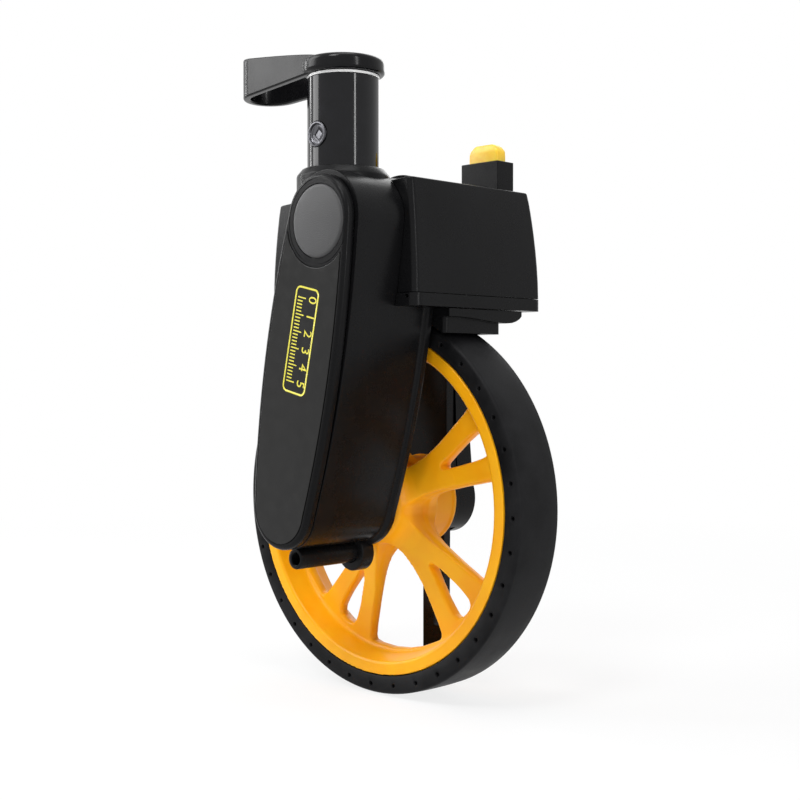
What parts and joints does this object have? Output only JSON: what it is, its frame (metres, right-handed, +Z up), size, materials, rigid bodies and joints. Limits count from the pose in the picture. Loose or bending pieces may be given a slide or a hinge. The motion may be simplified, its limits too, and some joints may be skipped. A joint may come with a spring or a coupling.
{
  "type": "measuring wheel",
  "caption": "Hand-held distance measuring wheel with a rubber-tyred spoked wheel, a geared counter, a reset button, a kickstand and a telescopic loop handle.",
  "frame": {"origin": "on the outer handle tube's axis, halfway between its socket and its top, where a hand holds the product", "axes": "+Z up along the handle tube, +X the way the wheel rolls forward, -Y the side of the gear case"},
  "size_m": [0.1592, 0.1044, 0.2643],
  "materials": {
    "satin_black": "satin moulded",
    "tube_black": "gloss",
    "leg_black": "satin",
    "label_black": "gloss",
    "wheel_orange": "satin moulded",
    "tyre": "smooth tread",
    "foot_rubber": "matte",
    "button_yellow": "gloss",
    "gear_plastic": "natural acetal",
    "drum_white": "satin",
    "steel": "zinc plated",
    "bright_tube": "polished",
    "clear_lens": "clear"
  },
  "bodies": {
    "frame": {"axle": "steel", "axle_carrier": "steel", "axle_nut": "steel", "button_collar": "satin_black", "cap_disc": "satin_black", "carrier_screw_1": "steel", "carrier_screw_2": "steel", "carrier_screw_3": "steel", "counter_frame": "steel", "counter_housing": "satin_black", "counter_window": "clear_lens", "far_arm_cover": "satin_black", "far_arm_plate": "satin_black", "fender": "satin_black", "gear_case": "satin_black", "gear_case_cover": "satin_black", "guide_sleeve": "gear_plastic", "housing_base": "satin_black", "idler_pin_1": "steel", "idler_pin_2": "steel", "idler_pin_3": "steel", "label_panel": "label_black", "outer_tube": "tube_black", "reset_spring": "steel", "sleeve_pin": "satin_black", "tube_plug": "gear_plastic", "tube_screw": "steel"},
    "road_wheel": {"wheel": "wheel_orange", "tyre": "tyre", "drive_gear": "gear_plastic", "wheel_bush": "gear_plastic"},
    "idler_1": {"idler_gear_1": "gear_plastic"},
    "idler_2": {"idler_gear_2": "gear_plastic"},
    "idler_3": {"idler_gear_3": "gear_plastic"},
    "counter_drive": {"counter_gear": "gear_plastic", "counter_shaft": "steel", "number_drum_1": "drum_white"},
    "drum_2": {"number_drum_2": "drum_white"},
    "drum_3": {"number_drum_3": "drum_white"},
    "drum_4": {"number_drum_4": "drum_white"},
    "drum_5": {"number_drum_5": "drum_white"},
    "button": {"reset_button": "button_yellow"},
    "middle_section": {"middle_tube": "bright_tube"},
    "top_section": {"inner_tube": "bright_tube", "loop_grip": "satin_black"},
    "kickstand": {"kickstand_leg": "leg_black", "kickstand_foot": "foot_rubber"}
  },
  "joints": [
    {"name": "wheel_spin", "type": "hinge", "parent": "frame", "child": "road_wheel", "pos_m": [-0.011, 0.0385, -0.1518], "axis": [0, 1, 0], "continuous": true},
    {"name": "idler_1_spin", "type": "hinge", "parent": "frame", "child": "idler_1", "pos_m": [-0.00703, 0.0385, -0.13118], "axis": [0, 1, 0], "continuous": true},
    {"name": "idler_2_spin", "type": "hinge", "parent": "frame", "child": "idler_2", "pos_m": [-0.00173, 0.0385, -0.10368], "axis": [0, 1, 0], "continuous": true},
    {"name": "idler_3_spin", "type": "hinge", "parent": "frame", "child": "idler_3", "pos_m": [0.00356, 0.0385, -0.07619], "axis": [0, 1, 0], "continuous": true},
    {"name": "counter_spin", "type": "hinge", "parent": "frame", "child": "counter_drive", "pos_m": [0.00886, 0.0385, -0.04869], "axis": [0, 1, 0], "continuous": true},
    {"name": "drum_2_spin", "type": "hinge", "parent": "frame", "child": "drum_2", "pos_m": [0.00886, 0.0385, -0.04869], "axis": [0, 1, 0], "continuous": true},
    {"name": "drum_3_spin", "type": "hinge", "parent": "frame", "child": "drum_3", "pos_m": [0.00886, 0.0385, -0.04869], "axis": [0, 1, 0], "continuous": true},
    {"name": "drum_4_spin", "type": "hinge", "parent": "frame", "child": "drum_4", "pos_m": [0.00886, 0.0385, -0.04869], "axis": [0, 1, 0], "continuous": true},
    {"name": "drum_5_spin", "type": "hinge", "parent": "frame", "child": "drum_5", "pos_m": [0.00886, 0.0385, -0.04869], "axis": [0, 1, 0], "continuous": true},
    {"name": "reset_press", "type": "slide", "parent": "frame", "child": "button", "axis": [0, 0, -1], "range_m": [0, 0.004], "stiffness_N_per_m": 400, "springref_m": -0.003, "deforming": ["reset_spring"]},
    {"name": "middle_slide", "type": "slide", "parent": "frame", "child": "middle_section", "axis": [0, 0, 1], "range_m": [0, 0.085]},
    {"name": "inner_slide", "type": "slide", "parent": "middle_section", "child": "top_section", "axis": [0, 0, 1], "range_m": [0, 0.085]},
    {"name": "kickstand_swing", "type": "hinge", "parent": "frame", "child": "kickstand", "pos_m": [-0.011, 0.0385, -0.1518], "axis": [0, 1, 0], "range_deg": [-5, 90]}
  ],
  "couplings": [
    {"joint": "idler_1_spin", "follows": "wheel_spin", "ratio": -0.5},
    {"joint": "idler_2_spin", "follows": "wheel_spin", "ratio": 0.5},
    {"joint": "idler_3_spin", "follows": "wheel_spin", "ratio": -0.5},
    {"joint": "counter_spin", "follows": "wheel_spin", "ratio": 0.5},
    {"joint": "drum_2_spin", "follows": "wheel_spin", "ratio": 0.05},
    {"joint": "drum_3_spin", "follows": "wheel_spin", "ratio": 0.005},
    {"joint": "drum_4_spin", "follows": "wheel_spin", "ratio": 0.0005},
    {"joint": "drum_5_spin", "follows": "wheel_spin", "ratio": 0.00005}
  ]
}
